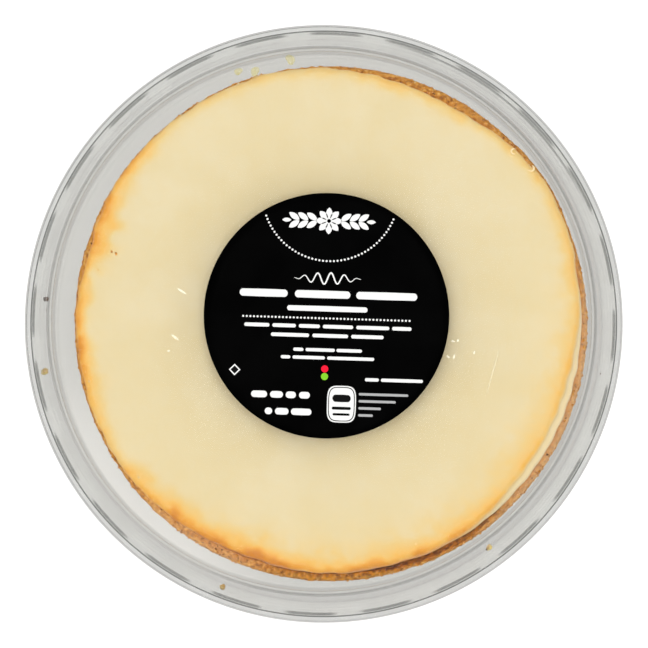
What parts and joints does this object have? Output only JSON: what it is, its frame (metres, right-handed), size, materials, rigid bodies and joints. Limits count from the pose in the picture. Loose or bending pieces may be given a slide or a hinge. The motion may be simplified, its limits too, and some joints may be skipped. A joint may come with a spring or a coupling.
{
  "type": "baked cheesecake in a shut clear pack",
  "caption": "Round baked cheesecake with a browned edge on a crumb crust, shut in a clear round tray and domed lid with a round black label.",
  "frame": {"origin": "centre of the pack's underside, on the surface it stands on", "axes": "+Z up through the label; +X right and +Y up as the picture shows the label"},
  "size_m": [0.178, 0.178, 0.0386],
  "materials": {
    "clear_plastic": "clear thermoformed sheet",
    "label_paper": "black coated paper with white print",
    "crumb_crust": "pressed biscuit crumbs",
    "cheese_filling": "smooth baked custard, browned at the edge"
  },
  "bodies": {
    "root": {"tray": "clear_plastic", "lid": "clear_plastic", "label": "label_paper", "crust": "crumb_crust", "filling": "cheese_filling"}
  },
  "joints": []
}
